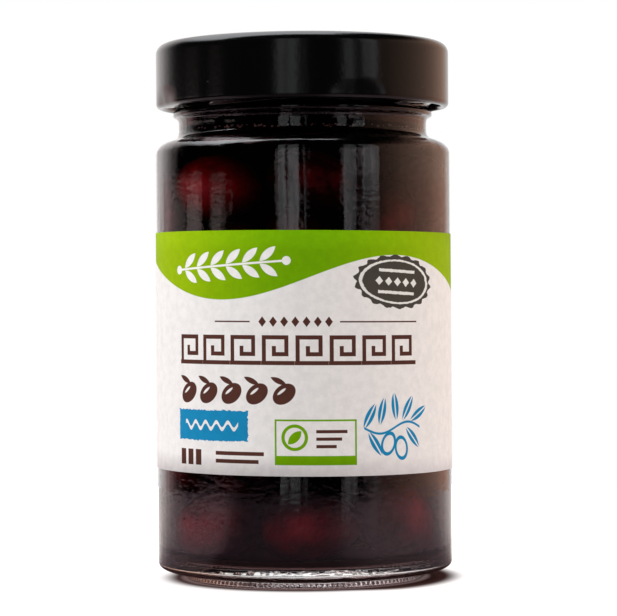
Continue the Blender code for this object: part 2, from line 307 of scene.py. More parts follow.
def fine_noise(start, place, scale, detail=2.0, roughness=0.5):
    """A noise pattern from 0 to 1 about 0.5; scale in patches for each metre."""
    return start.node("ShaderNodeTexNoise", None, {"Vector": place, "Scale": scale,
                      "Detail": detail, "Roughness": roughness})


def bump(start, height, distance):
    """A Bump node's normal from a height pattern."""
    return start.node("ShaderNodeBump", None, {"Height": height, "Distance": distance,
                      "Strength": 1.0})


def own_place(start):
    """The piece's own coordinates."""
    return start.node("ShaderNodeTexCoord", output=3)


def stretched(start, place, scale):
    """Coordinates scaled along each axis."""
    return start.node("ShaderNodeMapping", None, {"Vector": place, "Scale": scale})


def degrees_round(x, y):
    """Degrees round the jar from the front, from -180 to 180."""
    return x.sum_of("ARCTAN2", x, -y) * (180.0 / math.pi)


def lets_lamps_through(start, shader, output):
    """Let lamps shine through a clear shader, which otherwise stops their shadow rays."""
    clear = start.node("ShaderNodeBsdfTransparent")
    lamp_ray = start.node("ShaderNodeLightPath", output=1)
    mixed = start.node("ShaderNodeMixShader", None,
                       {0: lamp_ray, 1: Wire(start.tree, shader.outputs[0]), 2: clear})
    feed(mixed, output, "Surface")


def band(value, low, high, soft):
    """1 between low and high, and soft towards both."""
    return value.ramp(low - soft, low + soft) * (1.0 - value.ramp(high - soft, high + soft))


def glass_material(tint):
    """Clear glass with the faint ripples of a moulded jar."""
    made, start, shader, output = new_material("clear glass", {
        "Base Color": (*tint, 1.0), "Roughness": 0.0, "IOR": 1.5, "Transmission Weight": 1.0})
    place = own_place(start)
    slow = fine_noise(start, stretched(start, place, (1.0, 1.0, 0.05)), 330.0, 1.0)
    streaks = fine_noise(start, stretched(start, place, (1.0, 1.0, 2.2)), 420.0, 1.0)
    feed(bump(start, slow * 0.75 + streaks * 0.22, 0.00012), shader, "Normal")
    lets_lamps_through(start, shader, output)
    return made


def brine_material(brine, depth):
    """Dark red brine, clear but deeply coloured."""
    made, start, shader, output = new_material("red brine", {
        "Base Color": (1.0, 1.0, 1.0, 1.0), "Roughness": 0.0, "IOR": 1.34,
        "Transmission Weight": 1.0})
    lets_lamps_through(start, shader, output)
    depth_of_color = start.node("ShaderNodeVolumeAbsorption", None,
                                {"Color": (*brine, 1.0), "Density": depth})
    feed(depth_of_color, output, "Volume")
    return made


def bubble_material():
    """Bubbles in the brine, which show as pale specks: matt pale spheres whose colour is a painted
    highlight.
    """
    made, start, shader, _ = new_material("pale bubbles", {"Roughness": 0.12})
    patches = fine_noise(start, own_place(start), 300.0)
    feed(patches.mix((0.30, 0.22, 0.22), (0.75, 0.66, 0.64)), shader, "Base Color")
    return made


def olive_material(dark, red):
    """Olive skin, from nearly black to wine red, each olive with a tone of its own."""
    made, start, shader, _ = new_material("olive skin", {
        "Roughness": 0.34, "Specular IOR Level": 0.0})
    place = own_place(start)
    tone = start.node("ShaderNodeAttribute", {"attribute_name": "tone"}, output=2)
    clouds = fine_noise(start, place, 150.0, 3.0)
    share = (tone * 0.75 + clouds * 1.7 - 0.85).clamped()
    skin = share.mix(dark, red)
    spots = fine_noise(start, place, 900.0, 2.0)
    skin = spots.ramp(0.70, 0.78).mix(skin, dark)
    feed(skin, shader, "Base Color")
    wrinkles = fine_noise(start, stretched(start, place, (1.0, 1.0, 0.6)), 520.0, 4.0)
    feed(bump(start, wrinkles, 0.0003), shader, "Normal")
    return made


def lacquer_material(shade):
    """Glossy black lacquer with a slight orange peel and a few specks of dust."""
    made, start, shader, _ = new_material("black lacquer", {"IOR": 1.5})
    place = own_place(start)
    cells = start.node("ShaderNodeTexVoronoi", None, {"Vector": place, "Scale": 620.0}, 0)
    rare = fine_noise(start, place, 900.0, 0.0)
    dust = (1.0 - cells.ramp(0.04, 0.10)) * rare.ramp(0.66, 0.70)
    feed(dust.mix(shade, (0.10, 0.10, 0.10)), shader, "Base Color")
    haze = fine_noise(start, stretched(start, place, (1.0, 1.0, 0.3)), 60.0, 3.0)
    feed(haze * 0.06 + 0.14, shader, "Roughness")
    peel = fine_noise(start, place, 900.0, 2.0)
    feed(bump(start, peel, 0.00002), shader, "Normal")
    return made


def ink(distance, soft=0.09):
    """How much ink lies where a shape's edge is at that distance, in millimetres."""
    return (0.5 - distance / soft).clamped()


def box(u, v, middle_u, middle_v, half_u, half_v):
    """Distance to a rectangle."""
    return (abs(u - middle_u) - half_u).most(abs(v - middle_v) - half_v)


def disc(u, v, radius):
    """Distance to a circle about the origin."""
    return (u * u + v * v) ** 0.5 - radius


def turned_by(u, v, degrees):
    """Coordinates turned about the origin."""
    cos, sin = math.cos(math.radians(degrees)), math.sin(math.radians(degrees))
    return u * cos + v * sin, v * cos - u * sin


def oval(u, v, half_u, half_v):
    """Distance to an oval about the origin, right near its edge."""
    return (((u / half_u) ** 2.0 + (v / half_v) ** 2.0) ** 0.5 - 1.0) * min(half_u, half_v)


def leaf(u, v, half_length, half_width):
    """Distance to a pointed leaf along u about the origin."""
    radius = (half_length ** 2 + half_width ** 2) / (2.0 * half_width)
    return disc(u, abs(v) + (radius - half_width), radius)


def repeat(u, start, pitch):
    """u counted from the middle of the cell that it falls in."""
    cell = (u - start) / pitch
    return (cell - cell.sum_of("FLOOR", cell) - 0.5) * pitch


def union(shapes):
    """Distance to several shapes together."""
    joined = shapes[0]
    for shape in shapes[1:]:
        joined = joined.least(shape)
    return joined


def green_field(u, v):
    """The green field at the top, with a slow wave as its lower edge."""
    edge = ((u - 1.3) * (TURN / 79.4)).sine() * 4.85 + 42.65
    return edge - v


def white_branch(u, v):
    """A white branch on the green: a stem with pairs of leaves and two berries."""
    across, up = turned_by(u + 17.6, v - 45.2, 4.0)
    cell = repeat(across, -12.0, 4.0)
    leaf_u, leaf_v = turned_by(cell, abs(up) - 1.75, 38.0)
    leaves = leaf(leaf_u, leaf_v, 2.35, 0.85).most(abs(across) - 12.0)
    stem = box(across, up, 0.0, 0.0, 13.2, 0.22)
    berry = disc(abs(across) - 14.0, up, 0.95)
    return union([leaves, stem, berry])


def meander(u, v):
    """A band of square spirals between v 0 and 6.4, about 58 wide."""
    cell = repeat(u, -31.2, 7.3)
    strokes = ((0.0, 0.45, 3.65, 0.45), (-3.0, 3.2, 0.45, 3.2), (-0.55, 5.95, 2.9, 0.45),
               (1.9, 4.15, 0.45, 2.25), (0.55, 2.35, 1.8, 0.45), (-0.8, 3.2, 0.45, 0.9))
    band = union([box(cell, v, *stroke) for stroke in strokes])
    return band.most(box(u, v, -2.05, 3.2, 29.15, 3.2))


def brown_ovals(u, v):
    """A row of five tilted olives, each with a leaf, between v 0 and 6."""
    cell = repeat(u, -31.4, 6.0)
    body_u, body_v = turned_by(cell - 0.1, v - 2.4, 38.0)
    olive = oval(body_u, body_v, 2.75, 1.95)
    glint_u, glint_v = turned_by(cell + 0.45, v - 2.95, 38.0)
    olive = olive.most(-oval(glint_u, glint_v, 1.1, 0.28))
    leaf_u, leaf_v = turned_by(cell + 1.1, v - 5.2, -25.0)
    shape = olive.least(leaf(leaf_u, leaf_v, 1.9, 0.6))
    return shape.most(box(u, v, -16.4, 3.0, 15.0, 3.4))


def rules_and_diamonds(u, v):
    """Two thin rules with a row of small diamonds between them, about v 0."""
    cell = repeat(u, -10.2, 2.4)
    diamonds = ((abs(cell) + abs(v) * 0.75) - 0.85).most(abs(u + 1.8) - 8.4)
    rules = box(u, v, -16.1, 0.0, 4.3, 0.16).least(box(u, v, 17.6, 0.0, 9.8, 0.16))
    return diamonds.least(rules)


def small_bars(u, v, middle_u, pitch, half_u, rows, half_height=0.35):
    """Thin bars, one over another, each a little shorter than the one above."""
    shorter = 0.6
    return union([box(u, v, middle_u - row * shorter, -row * pitch, half_u - row * shorter,
                      half_height) for row in range(rows)])


def sprig(u, v):
    """A branch with leaves and three olives, about 17 wide and 16 high, as line work."""
    stem = abs(v - (u * 0.42).sine() * 1.2) - 0.26
    shapes = [stem.most(abs(u) - 7.6)]
    leaves = ((-6.2, 2.6, 62.0), (-3.2, 3.6, 78.0), (0.2, 4.6, 96.0), (3.8, 4.2, 60.0),
              (7.2, 2.9, 30.0), (-4.9, -3.4, -58.0), (5.3, -2.2, -48.0))
    for middle_u, middle_v, tilt in leaves:
        leaf_u, leaf_v = turned_by(u - middle_u, v - middle_v, tilt)
        shapes.append(leaf(leaf_u, leaf_v, 3.2, 0.95).most(0.16 - abs(leaf_v)))
    for middle_u, middle_v, tilt in ((-1.6, -3.4, 70.0), (1.9, -4.4, 100.0)):
        body_u, body_v = turned_by(u - middle_u, v - middle_v, tilt)
        shapes.append(abs(oval(body_u, body_v, 2.3, 1.6)) - 0.28)
    return union(shapes)


def seal(u, v):
    """A dark seal with a scalloped edge: its field, and the pale marks on it."""
    angle = u.sum_of("ARCTAN2", v * 1.75, u)
    scallops = (angle * 18.0).sine() * 0.22
    field = oval(u, v, 10.6, 5.7) + scallops
    ring = abs(oval(u, v, 9.3, 4.6)) - 0.2
    cell = repeat(u, -6.0, 2.4)
    beads = ((abs(cell) + abs(v)) - 0.95).most(abs(u) - 6.0)
    bars = box(u, abs(v), 0.0, 2.35, 5.0, 0.32)
    return field, union([ring, beads, bars])


def green_mark(u, v):
    """A small framed mark: a green frame with a solid foot, and a round leaf inside."""
    frame_line = abs(box(u, v, 0.0, 0.0, 8.7, 4.7)) - 0.2
    foot = box(u, v, 0.0, -3.9, 8.9, 1.0)
    wheel_u, wheel_v = u + 4.6, v - 1.0
    round_leaf = abs(disc(wheel_u, wheel_v, 2.5)) - 0.35
    vein_u, vein_v = turned_by(wheel_u, wheel_v, 45.0)
    inner = leaf(vein_u, vein_v, 2.0, 0.95)
    return union([frame_line, foot, round_leaf, inner])


def back_panels(u, v):
    """Plain ruled panels on the label's two ends, which go round to the back."""
    side = abs(u)
    outline = abs(box(side, v, 76.0, 19.0, 17.0, 14.0)) - 0.15
    line = abs(repeat(v, 5.0, 3.5)) - 0.1
    lines = line.most(box(side, v, 76.0, 19.0, 15.4, 12.4))
    return outline.least(lines)


def label_print(start, place, glass, label):
    """The printed label's colour: fields of colour and simple ornaments on pale paper.

    Places are in millimetres, u to the right of the front and v up from the lower edge.
    """
    x, y, z = place.parts()
    u = x.sum_of("ARCTAN2", x, -y) * ((glass.body_radius + label.gap) / MM)
    v = (z - LABEL_EDGE_LOW - x * LABEL_SKEW) / MM
    rough = (fine_noise(start, place, 1500.0, 2.0) - 0.5) * 0.9
    greens = abs(u).ramp(0.0, 42.0).mix(label.green_middle, label.green_side)
    color_now = ink(green_field(u, v)).mix(label.stock, greens)
    brown = union([meander(u, v - 23.8), brown_ovals(u, v - 15.2),
                   rules_and_diamonds(u, v - 33.1)])
    color_now = ink(brown).mix(color_now, label.brown)
    color_now = ink(white_branch(u, v)).mix(color_now, (0.84, 0.83, 0.81))
    patch = box(u, v, -22.1, 10.6, 9.7, 3.3) + rough
    wave = abs(v - 10.6 - (u * 2.1).sine() * 0.75) - 0.42
    color_now = ink(patch).mix(color_now, label.blue)
    color_now = ink(wave.most(abs(u + 22.1) - 7.4)).mix(color_now, label.stock)
    dark, pale = seal(*turned_by(u - 21.8, v - 41.7, -3.0))
    color_now = ink(dark + rough * 0.5).mix(color_now, label.charcoal)
    color_now = ink(pale + rough * 0.3).mix(color_now, (0.78, 0.78, 0.74))
    color_now = ink(green_mark(u - 2.5, v - 7.3)).mix(color_now, label.green_middle)
    bars = small_bars(u, v - 9.6, 5.9, 1.6, 3.4, 3)
    bars = bars.least(small_bars(u, v - 4.7, -14.6, 1.7, 5.8, 2, 0.42))
    thick_bars = box(repeat(u, -31.6, 2.5), v, 0.0, 3.6, 0.85, 1.7)
    bars = bars.least(thick_bars.most(abs(u + 27.8) - 3.8))
    color_now = ink(bars.least(back_panels(u, v))).mix(color_now, label.brown)
    return ink(sprig(u - 20.7, v - 10.2)).mix(color_now, label.blue)


def label_material(glass, label):
    """Smooth printed paper with a faint tooth."""
    made, start, shader, _ = new_material("printed paper", {
        "Roughness": 0.6, "Specular IOR Level": 0.03})
    place = own_place(start)
    fibres = fine_noise(start, place, 520.0, 4.0, 0.65)
    shade = fibres.ramp(0.30, 0.70).mix((0.925, 0.930, 0.935), (1.03, 1.03, 1.03))
    printed = start.node("ShaderNodeMix", {"data_type": "RGBA", "blend_type": "MULTIPLY"},
                         {0: 1.0, 6: label_print(start, place, glass, label), 7: shade}, 2)
    feed(printed, shader, "Base Color")
    feed(bump(start, fibres, 0.00002), shader, "Normal")
    return made


def table_material(shade):
    """A plain white table, overexposed to the eye except close round the jar's foot.

    Its colour is painted light and shade: darker in front, lighter at the sides and behind, and
    most on the right, so it lights the jar more from behind and from the right. Close round the
    foot it has a painted dark reddish shadow, and under the foot a painted glow.
    """
    made, start, shader, _ = new_material("white table", {
        "Roughness": 0.9, "Specular IOR Level": 0.0, "Emission Strength": 1.0})
    x, y, _ = own_place(start).parts()
    around = degrees_round(x, y)
    # Painted light and shade by angle round the jar: darker in front, lighter at the sides (sooner
    # on the right) and lightest behind
    side = (-around).ramp(50.0, 64.0).most(around.ramp(10.0, 50.0))
    far = abs(around).ramp(100.0, 150.0)
    near = side.mix((0.095, 0.066, 0.084), (0.37, 0.275, 0.315))
    radius = (x * x + y * y) ** 0.5
    painted_table_light = far.mix(near, shade)
    # Painted shadow: a dark reddish colour close round the foot
    feed(radius.ramp(0.033, 0.041).mix((0.10, 0.050, 0.047), painted_table_light), shader, "Base Color")
    # Painted shadow: the part round the foot without glow reaches further out on the right
    right = around.ramp(15.0, 42.0)
    seen = start.node("ShaderNodeLightPath", output=0)
    spread = start.node("ShaderNodeLightPath", output="Diffuse Depth").clamped() * 0.55
    # The table glows white to the eye and to bounced light, but not close round the foot, where its
    # painted shadow shows
    outside = seen.most(spread) * (radius - right * 0.0030).ramp(0.0285, 0.0335)
    # Painted glow: a faint pinkish ring of light under the glass foot
    ring = band(radius, 0.0235, 0.0280, 0.0008) * 0.14
    glow = outside.mix(ring.mix((0.0, 0.0, 0.0), (0.85, 0.62, 0.60)), (0.96, 0.96, 0.96))
    feed(glow, shader, "Emission Color")
    return made


def arc(middle, across, up, start, end, steps):
    """Points (r, z) on an oval; angles in degrees, 0 outwards and 90 up."""
    points = []
    for index in range(steps + 1):
        angle = math.radians(start + (end - start) * index / steps)
        points.append((middle[0] + across * math.cos(angle), middle[1] + up * math.sin(angle)))
    return points


def dome(radius, edge_z, rise, steps):
    """Points (r, z) from the middle of a shallow dome to its edge."""
    return [(radius * index / steps, edge_z + rise * (1.0 - (index / steps) ** 2))
            for index in range(steps + 1)]


def line(start, end, steps):
    """Points (r, z) along a straight line, without its ends."""
    return [(start[0] + (end[0] - start[0]) * index / steps,
             start[1] + (end[1] - start[1]) * index / steps) for index in range(1, steps)]


def spun(profile, steps):
    """A bmesh of a profile of (r, z) points turned about the Z axis, faces outward."""
    shape = bmesh.new()
    corners = [shape.verts.new((radius, 0.0, z)) for radius, z in profile]
    edges = [shape.edges.new(pair) for pair in zip(corners, corners[1:])]
    bmesh.ops.spin(shape, geom=corners + edges, cent=(0.0, 0.0, 0.0), axis=(0.0, 0.0, 1.0),
                   angle=TURN, steps=steps, use_merge=True)
    bmesh.ops.remove_doubles(shape, verts=shape.verts, dist=WELD)
    bmesh.ops.recalc_face_normals(shape, faces=shape.faces)
    return shape


def mesh_of(name, shape):
    """Turn a bmesh into a mesh."""
    mesh = bpy.data.meshes.new(name)
    shape.to_mesh(mesh)
    shape.free()
    return mesh


def join(shape, name, part):
    """Add one bmesh to another."""
    mesh = mesh_of(name, part)
    shape.from_mesh(mesh)
    bpy.data.meshes.remove(mesh)


def added(name, data):
    """A new object in the scene."""
    made = bpy.data.objects.new(name, data)
    bpy.context.scene.collection.objects.link(made)
    return made


def piece(name, shape, material):
    """Make a bmesh a piece of the jar that rides on its body."""
    mesh = mesh_of(name, shape)
    mesh.materials.append(material)
    mesh.shade_smooth()
    made = added(name, mesh)
    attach(made, BODY)
    return made


def spot(radius, angle, z):
    """A point at an angle from the front."""
    return Vector((radius * math.sin(angle), -radius * math.cos(angle), z))


def angle_of(place):
    """Angle of a point from the front, from -pi to pi."""
    return math.atan2(place.x, -place.y)


def smooth_share(value, low, high):
    """0 at low and 1 at high, smooth between them."""
    share = min(max((value - low) / (high - low), 0.0), 1.0)
    return share * share * (3.0 - 2.0 * share)


def thread_height(angle, z):
    """How far a thread ridge stands out of the neck there."""
    starts, low_end_z, rise = 4, 0.1060, 0.0034
    half_height, stands_out = 0.00095, 0.0014
    sweep, low_end = math.radians(95.0), math.radians(-46.0)
    tallest = 0.0
    for index in range(starts):
        along = (angle - low_end - index * TURN / starts) % TURN
        share = along / sweep
        if share > 1.0:
            continue
        off = (z - low_end_z - rise * share) / half_height
        ends = smooth_share(share, 0.0, 0.07) * smooth_share(1.0 - share, 0.0, 0.10)
        tallest = max(tallest, stands_out * max(0.0, 1.0 - off * off) ** 0.7 * ends)
    return tallest


def ripple(angle, z):
    """The unevenness of the glass inside, about 1 at most."""
    return (0.45 * math.sin(5.0 * angle + 90.0 * z) + 0.3 * math.sin(11.0 * angle - 160.0 * z + 1.0)
            + 0.25 * math.sin(3.0 * angle + 310.0 * z + 2.0))


def inside_profile(glass, reach, steps):
    """The inside of the jar, from the middle of its floor to the top of its shoulder.

    The brine has the same form, but reaches a little into the glass.
    """
    inner = glass.body_radius - glass.wall + reach
    mouth = glass.neck_radius - glass.neck_wall + reach
    heel, floor_z = INNER_HEEL + reach, glass.base - reach
    shoulder = glass.shoulder_low - INNER_SHOULDER_DROP
    shoulder_rise = glass.shoulder_high - glass.shoulder_low + reach
    profile = dome(inner - heel, floor_z, FLOOR_RISE, 10)[:-1]
    profile += arc((inner - heel, floor_z + heel), heel, heel, -90.0, 0.0, 8)
    profile += line((inner, floor_z + heel), (inner, shoulder), steps)
    profile += arc((mouth, shoulder), inner - mouth, shoulder_rise, 0.0, 90.0, 8)
    return profile


def jar_profile(glass):
    """The glass from the middle of its floor, up inside, over the rim and down outside."""
    mouth = glass.neck_radius - glass.neck_wall
    rim, rounding = GLASS_HIGH.z, 0.0009
    profile = inside_profile(glass, 0.0, 14)
    profile += line(profile[-1], (mouth, rim - rounding), 3)
    profile += arc((mouth + rounding, rim - rounding), rounding, rounding, 180.0, 90.0, 4)
    profile += arc((glass.finish_radius - rounding, rim - rounding), rounding, rounding,
                   90.0, 0.0, 4)
    # Threads, and the ring under the lid
    threads_top = (glass.finish_radius, THREADS_TOP)
    threads_foot = (glass.finish_radius, glass.bead_z + BEAD_HALF)
    profile += [threads_top] + line(threads_top, threads_foot, 24)
    profile += arc((glass.finish_radius, glass.bead_z), glass.bead_radius - glass.finish_radius,
                   BEAD_HALF, 80.0, -80.0, 8)
    # Neck and shoulder
    neck_top, neck_foot = 0.1031, (glass.neck_radius, glass.shoulder_high + 0.0019)
    profile += [(glass.finish_radius - 0.0002, glass.bead_z - 0.0009),
                (glass.neck_radius + 0.0001, neck_top)]
    profile += line((glass.neck_radius, neck_top), neck_foot, 3)
    hollow = 0.0022
    profile += arc((neck_foot[0] + hollow, neck_foot[1]), hollow, hollow, 180.0, 250.0, 8)
    profile += arc((glass.neck_radius, glass.shoulder_low), glass.body_radius - glass.neck_radius,
                   glass.shoulder_high - glass.shoulder_low, 70.0, 0.0, 13)
    # Straight body, heel, standing ring and the hollow under the floor
    profile += line((glass.body_radius, glass.shoulder_low), (glass.body_radius, glass.heel_up), 6)
    rest = glass.body_radius - glass.heel_across
    profile += arc((rest, glass.heel_up), glass.heel_across, glass.heel_up - glass.ring_top,
                   0.0, -90.0, 14)
    profile += [(rest - 0.0002, glass.ring_top - 0.0002), (rest - 0.0003, 0.0005),
                (rest - 0.0008, 0.0), (rest - 0.0014, 0.0)]
    punt_edge, punt_z, punt_rise = rest - 0.0030, 0.0009, 0.0005
    profile += reversed(dome(punt_edge, punt_z, punt_rise, 8))
    return profile


def build_glass(glass):
    """The glass jar: turned, then its threads, ripples and knurled foot are pushed out."""
    shape = spun(jar_profile(glass), glass.steps)
    inner = glass.body_radius - glass.wall
    ripple_depth, knurl_lift, knurl_out = 0.00012, 0.00009, 0.00010
    knurl_inside, knurl_top = glass.body_radius - glass.heel_across - 0.0020, 0.0016
    for corner in shape.verts:
        place = corner.co
        radius, angle, z = math.hypot(place.x, place.y), angle_of(place), place.z
        moved = 0.0
        on_neck = glass.bead_z + BEAD_HALF < z < THREADS_TOP + 0.0002
        if radius > glass.finish_radius - 0.00001 and on_neck:
            moved = thread_height(angle, z)
        elif glass.base + 0.002 < z < glass.shoulder_low and radius < inner + 0.0002:
            moved = ripple_depth * ripple(angle, z)
        if radius > knurl_inside and z < knurl_top:
            wave = math.sin(angle * glass.knurls)
            place.z += knurl_lift * (1.0 + wave) * (1.0 - z / knurl_top)
            moved = knurl_out * wave
        if moved:
            place.xy *= (radius + moved) / radius
    made = piece("glass_jar", shape, glass_material(glass.tint))
    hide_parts("jar")
    return made


def lid_profile(lid):
    """The lid from the middle of its top, out, down the skirt, round the curl and back."""
    panel = lid.top - 0.0011
    button_top = panel + 0.0005
    button, ring_inner, step, button_rise = 0.0115, 0.0254, 0.0008, 0.0002
    profile = dome(button - step, button_top, button_rise, 6)
    profile += soft_step((button - step, button_top), (button, panel), 4)
    profile += line((button, panel), (ring_inner - step, panel), 5)
    profile += soft_step((ring_inner - step, panel), (ring_inner, lid.top), 6)
    profile += line((ring_inner, lid.top), (lid.radius - lid.corner, lid.top), 4)
    corner = (lid.radius - lid.corner, lid.top - lid.corner)
    profile += arc(corner, lid.corner, lid.corner, 90.0, 0.0, 12)
    curl = (lid.radius - lid.curl, lid.bottom + lid.curl)
    profile += line((lid.radius, lid.top - lid.corner), (lid.radius, curl[1]), 28)
    profile += arc(curl, lid.curl, lid.curl, 0.0, -240.0, 16)
    profile += [(lid.radius - lid.sheet, lid.bottom + 0.0023)]
    inside = lid.corner - lid.sheet
    profile += arc(corner, inside, inside, 0.0, 90.0, 5)
    profile += [(ring_inner + lid.sheet, lid.top - lid.sheet),
                (ring_inner - step + lid.sheet, panel - lid.sheet), (button, panel - lid.sheet),
                (button - step, button_top - lid.sheet), (0.0, panel + 0.0007 - lid.sheet)]
    return profile


def soft_step(start, end, steps):
    """Points (r, z) down or up a step with rounded edges, its ends included."""
    points = []
    for index in range(steps + 1):
        share = index / steps
        points.append((start[0] + (end[0] - start[0]) * share,
                       start[1] + (end[1] - start[1]) * smooth_share(share, 0.0, 1.0)))
    return points


def lug_share(angle, lid):
    """1 in the middle of a lug and 0 away from it."""
    pitch = TURN / lid.lugs
    off = abs((angle - lid.lug_angle + pitch / 2.0) % pitch - pitch / 2.0)
    return 1.0 - smooth_share(off, math.radians(2.0), math.radians(14.0))


def build_lid(lid):
    """The lid: turned, with the rolled edge pressed in to a lug at four places."""
    shape = spun(lid_profile(lid), 256)
    pressed_up_to, top_panel_radius = lid.bottom + 0.0046, 0.03
    skirt_in, curl_in, curl_down = 0.0005, 0.0014, 0.0003
    for corner in shape.verts:
        place = corner.co
        radius = math.hypot(place.x, place.y)
        if place.z > pressed_up_to or radius < top_panel_radius:
            continue
        pressed = lug_share(angle_of(place), lid)
        if not pressed:
            continue
        fade = 1.0 - smooth_share(place.z, lid.bottom + 0.0008, pressed_up_to)
        inward = skirt_in * pressed * fade
        if radius < lid.radius - lid.curl * 0.9 and place.z < lid.bottom + 0.0018:
            inward += curl_in * pressed
            place.z -= curl_down * pressed
        place.xy *= (radius - inward) / radius
    made = piece("metal_lid", shape, lacquer_material(lid.lacquer))
    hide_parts("lid")
    return made


def build_label(glass, label):
    """The label: a thin sleeve with its two ends apart behind, a little askew."""
    shape = bmesh.new()
    radius = glass.body_radius + label.gap
    rows, sections = 12, 168
    down = LABEL_EDGE_LOW - LABEL_EDGE_HIGH
    corners = [shape.verts.new((0.0, radius, LABEL_EDGE_HIGH + down * row / rows))
               for row in range(rows + 1)]
    edges = [shape.edges.new(pair) for pair in zip(corners, corners[1:])]
    turn = Matrix.Rotation(label.bare / 2.0, 3, "Z")
    bmesh.ops.rotate(shape, cent=(0.0, 0.0, 0.0), matrix=turn, verts=corners)
    bmesh.ops.spin(shape, geom=corners + edges, cent=(0.0, 0.0, 0.0), axis=(0.0, 0.0, 1.0),
                   angle=TURN - label.bare, steps=sections)
    for corner in shape.verts:
        corner.co.z += LABEL_SKEW * corner.co.x
    bmesh.ops.recalc_face_normals(shape, faces=shape.faces)
    face = next(iter(shape.faces))
    if face.normal.dot(face.calc_center_median()) < 0.0:
        bmesh.ops.reverse_faces(shape, faces=shape.faces)
    made = piece("paper_label", shape, label_material(glass, label))
    sheet = made.modifiers.new("paper", "SOLIDIFY")
    sheet.thickness = label.paper
    sheet.offset = 1.0
    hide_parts("label")
    return made


def olive_poses(filling, inner_radius):
    """Centre, long axis, length and diameter of each olive, as the heap in the frame has them."""
    draw, per_row, on_top = random.Random(11), 7, 5
    centers, axes, sizes = [], [], []
    rows = (0.0138, 0.0282, 0.0424, 0.0566, 0.0708, 0.0846)
    front = (6.0, -22.0, 2.0, -24.0, 4.0, -50.0)
    for row, z in enumerate(rows):
        for number in range(per_row):
            angle = math.radians(front[row] + draw.uniform(-5.0, 5.0)) + number * TURN / per_row
            add_olive(draw, filling, inner_radius - filling.olive_diameter / 2.0, angle, z,
                      (centers, axes, sizes))
    for number in range(on_top):
        angle = math.radians(20.0) + number * TURN / on_top
        add_olive(draw, filling, 0.0125, angle, 0.0905, (centers, axes, sizes))
    return settled(np.array(centers), np.array(axes), np.array(sizes), inner_radius)


def add_olive(draw, filling, radius, angle, z, lists):
    """Draw one olive's size and the way that it lies along the glass."""
    centers, axes, sizes = lists
    tilt = math.radians(draw.uniform(-55.0, 55.0))
    along = Vector((math.cos(angle), math.sin(angle), 0.0)) * math.cos(tilt)
    along.z = math.sin(tilt)
    centers.append(spot(radius, angle, z + draw.uniform(-0.001, 0.001)))
    axes.append(along.normalized())
    sizes.append((filling.olive_length * draw.uniform(0.9, 1.1),
                  filling.olive_diameter * draw.uniform(0.9, 1.1)))


def settled(centers, axes, sizes, inner_radius):
    """Push olives that overlap apart and back inside the glass, a little at a time."""
    count, rounds, firmness = len(centers), 160, 0.25
    neck_bore, under_shoulder, in_neck, floor = 0.0259, 0.0944, 0.0990, 0.0062
    radii = np.stack([sizes[:, 1] * share for share in (0.34, 0.5, 0.34)], axis=1)
    reach = sizes[:, 0] * 0.5 - radii[:, 0]
    offsets = np.stack([-reach, np.zeros(count), reach], axis=1)
    owner = np.repeat(np.arange(count), 3)
    wide = radii.reshape(-1)
    for _ in range(rounds):
        balls = (centers[:, None, :] + axes[:, None, :] * offsets[:, :, None]).reshape(-1, 3)
        gaps = balls[:, None, :] - balls[None, :, :]
        distance = np.linalg.norm(gaps, axis=2) + 1e-9
        overlap = np.clip(wide[:, None] + wide[None, :] - distance, 0.0, None)
        overlap[owner[:, None] == owner[None, :]] = 0.0
        push = (gaps / distance[:, :, None] * overlap[:, :, None]).sum(axis=1) * firmness
        across = np.linalg.norm(balls[:, :2], axis=1) + 1e-9
        ceiling = np.where(across > neck_bore - wide, under_shoulder, in_neck)
        outside = np.clip(across + wide - inner_radius, 0.0, None)
        push[:, :2] -= balls[:, :2] / across[:, None] * outside[:, None]
        push[:, 2] += np.clip(floor + wide - balls[:, 2], 0.0, None)
        push[:, 2] -= np.clip(balls[:, 2] + wide - ceiling, 0.0, None)
        centers = centers + push.reshape(count, 3, 3).sum(axis=1)
    return zip(centers, axes, sizes)


def one_olive(center, axis, size, tone, seed):
    """A bmesh of one olive: an oval with a blunt point, a stalk dimple and soft dents."""
    shape = bmesh.new()
    tone_layer = shape.verts.layers.float.new("tone")
    bmesh.ops.create_uvsphere(shape, u_segments=30, v_segments=20, radius=1.0)
    turn = Vector((0.0, 0.0, 1.0)).rotation_difference(Vector(axis)).to_matrix()
    offset = Vector((seed * 3.1, seed * 1.7, seed * 2.3))
    narrowing, dimple_depth, dimple_radius, dent_depth = 0.12, 0.10, 0.16, 0.035
    for corner in shape.verts:
        along = corner.co.z
        slim = 1.0 - narrowing * max(along, 0.0) ** 2
        across = Vector((corner.co.x, corner.co.y, 0.0))
        dimple = 0.0
        if along < 0.0:
            dimple = dimple_depth * math.exp(-(across.length / dimple_radius) ** 2)
        dents = 1.0 + dent_depth * noise.noise(corner.co * 1.6 + offset)
        local = Vector((across.x * slim * size[1] / 2.0, across.y * slim * size[1] / 2.0,
                        (along + dimple) * size[0] / 2.0)) * dents
        corner.co = turn @ local + Vector(center)
        corner[tone_layer] = tone
    return shape


def build_olives(glass, filling):
    """The olives, each whole and at its real size, where the frame's heap has them."""
    clearance = 0.0008
    inner_radius = glass.body_radius - glass.wall - clearance
    shape = bmesh.new()
    draw = random.Random(29)
    in_lowest_rows = 14
    for number, (center, axis, size) in enumerate(olive_poses(filling, inner_radius)):
        share = draw.random()
        # Painted light: the lowest rows get lighter, redder tones for the light that comes up from
        # below
        usual = 0.50 + 0.30 * share if number < in_lowest_rows else 0.55 * share ** 1.5
        tone = PAINTED_OLIVE_TONES.get(number, usual)
        join(shape, "olive", one_olive(center, axis, size, tone, number))
    skin = olive_material(filling.skin_dark, filling.skin_red)
    made = piece("whole_olives", shape, skin)
    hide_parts("olives")
    return made


